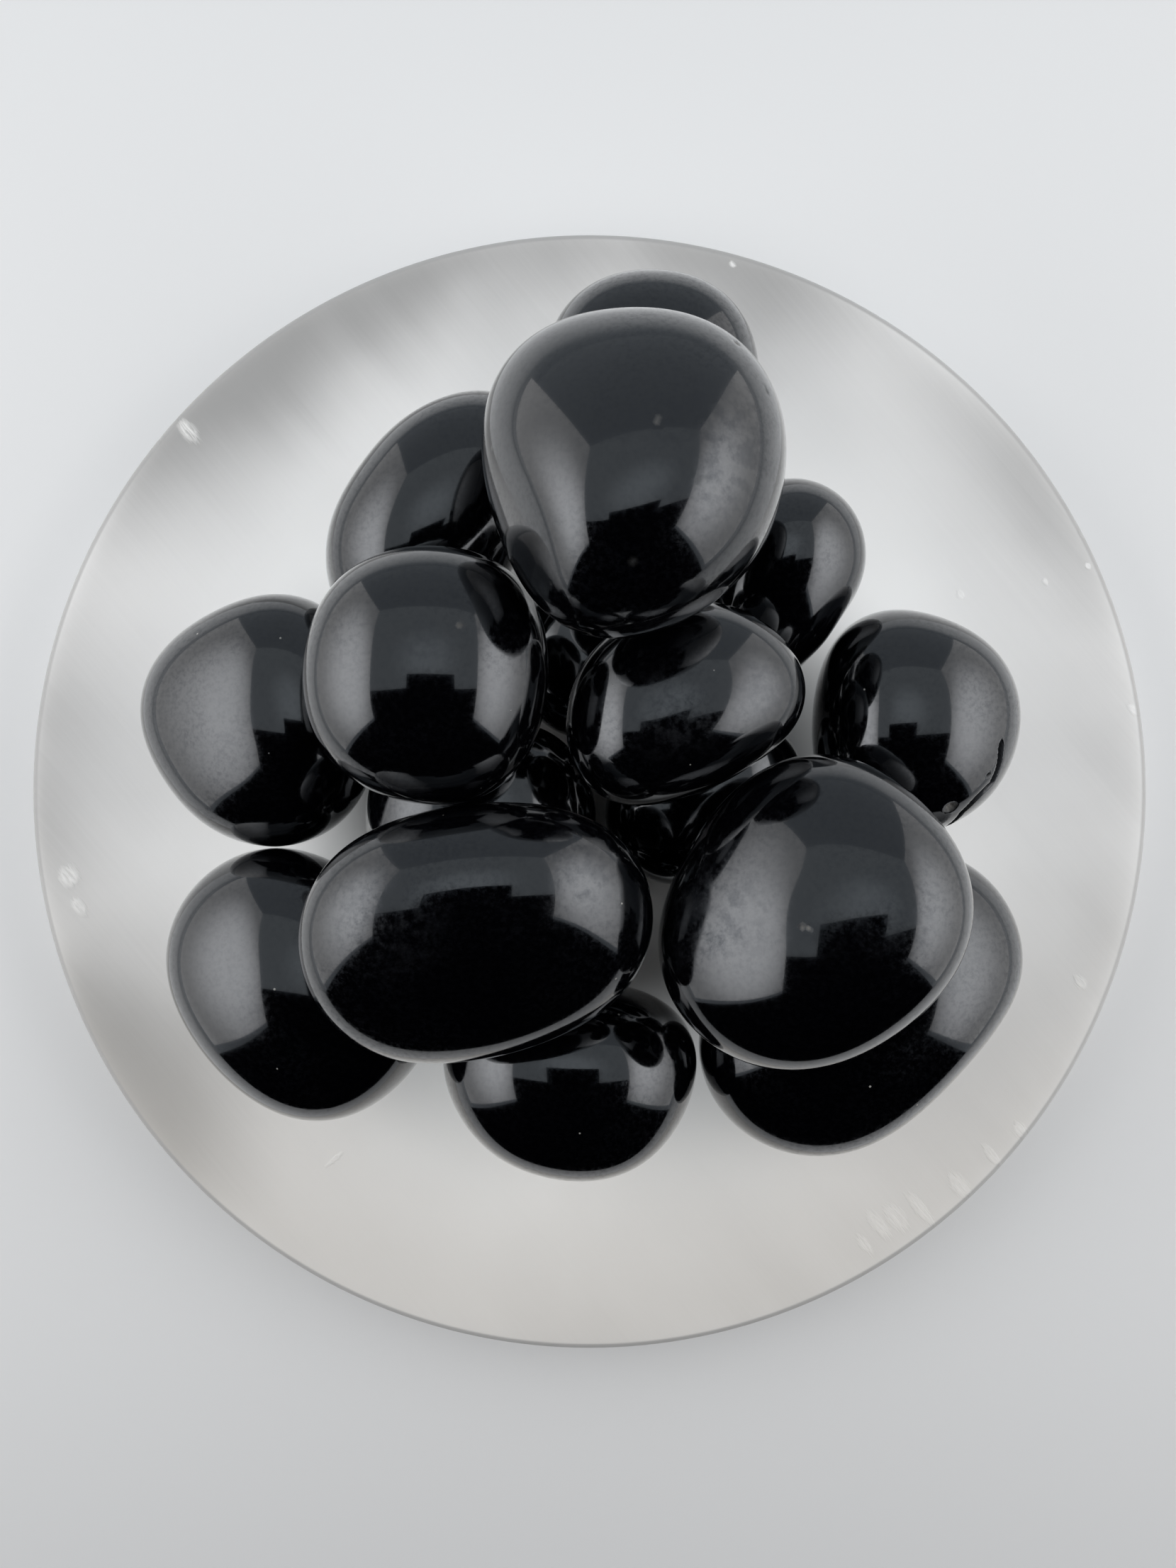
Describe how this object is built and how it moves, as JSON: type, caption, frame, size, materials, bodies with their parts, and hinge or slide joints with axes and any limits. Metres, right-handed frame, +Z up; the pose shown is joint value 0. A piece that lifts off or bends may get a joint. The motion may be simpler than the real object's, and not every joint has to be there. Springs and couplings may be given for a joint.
{
  "type": "desk stone sculpture",
  "caption": "Loose pile of polished black tumbled stones on a round pale stone plate; the outer stones lift off one by one.",
  "frame": {"origin": "middle of the plate's flat underside", "axes": "+Z up from the surface it stands on, +Y towards the stone at the back, +X to the right of it"},
  "size_m": [0.1, 0.1, 0.044],
  "materials": {
    "plate": "satin, fibrous and slightly see-through",
    "black_stone": "high polish"
  },
  "bodies": {
    "base": {"plate": "plate", "stone_inner_left": "black_stone", "stone_inner_right": "black_stone", "stone_inner_back": "black_stone"},
    "back": {"stone_back": "black_stone"},
    "back_left": {"stone_back_left": "black_stone"},
    "left": {"stone_left": "black_stone"},
    "front_left": {"stone_front_left": "black_stone"},
    "front": {"stone_front": "black_stone"},
    "front_right": {"stone_front_right": "black_stone"},
    "right": {"stone_right": "black_stone"},
    "back_right": {"stone_back_right": "black_stone"},
    "upper_left": {"stone_upper_left": "black_stone"},
    "upper_front_left": {"stone_upper_front_left": "black_stone"},
    "upper_front_right": {"stone_upper_front_right": "black_stone"},
    "upper_middle": {"stone_upper_middle": "black_stone"},
    "top": {"stone_top": "black_stone"}
  },
  "joints": [
    {"name": "lift_back", "type": "slide", "parent": "base", "child": "back", "axis": [0.1574, 0.8925, 0.4226], "range_m": [0, 0.05]},
    {"name": "lift_back_left", "type": "slide", "parent": "base", "child": "back_left", "axis": [-0.4698, 0.8138, 0.342], "range_m": [0, 0.05]},
    {"name": "lift_left", "type": "slide", "parent": "base", "child": "left", "axis": [-0.8516, 0.31, 0.4226], "range_m": [0, 0.05]},
    {"name": "lift_front_left", "type": "slide", "parent": "base", "child": "front_left", "axis": [-0.8138, -0.4698, 0.342], "range_m": [0, 0.05]},
    {"name": "lift_front", "type": "slide", "parent": "base", "child": "front", "axis": [-0.079, -0.9029, 0.4226], "range_m": [0, 0.05]},
    {"name": "lift_front_right", "type": "slide", "parent": "base", "child": "front_right", "axis": [0.7399, -0.6209, 0.2588], "range_m": [0, 0.05]},
    {"name": "lift_right", "type": "slide", "parent": "base", "child": "right", "axis": [0.8925, 0.1574, 0.4226], "range_m": [0, 0.05]},
    {"name": "lift_back_right", "type": "slide", "parent": "base", "child": "back_right", "axis": [0.4096, 0.7094, 0.5736], "range_m": [0, 0.05]},
    {"name": "lift_upper_left", "type": "slide", "parent": "base", "child": "upper_left", "axis": [-0.5792, 0.4056, 0.7071], "range_m": [0, 0.06]},
    {"name": "lift_upper_front_left", "type": "slide", "parent": "base", "child": "upper_front_left", "axis": [-0.4056, -0.5792, 0.7071], "range_m": [0, 0.06]},
    {"name": "lift_upper_front_right", "type": "slide", "parent": "base", "child": "upper_front_right", "axis": [0.6409, -0.2988, 0.7071], "range_m": [0, 0.06]},
    {"name": "lift_upper_middle", "type": "slide", "parent": "base", "child": "upper_middle", "axis": [0.8645, 0.4405, 0.2419], "range_m": [0, 0.06]},
    {"name": "lift_top", "type": "slide", "parent": "base", "child": "top", "axis": [0.183, 0.683, 0.7071], "range_m": [0, 0.06]}
  ]
}
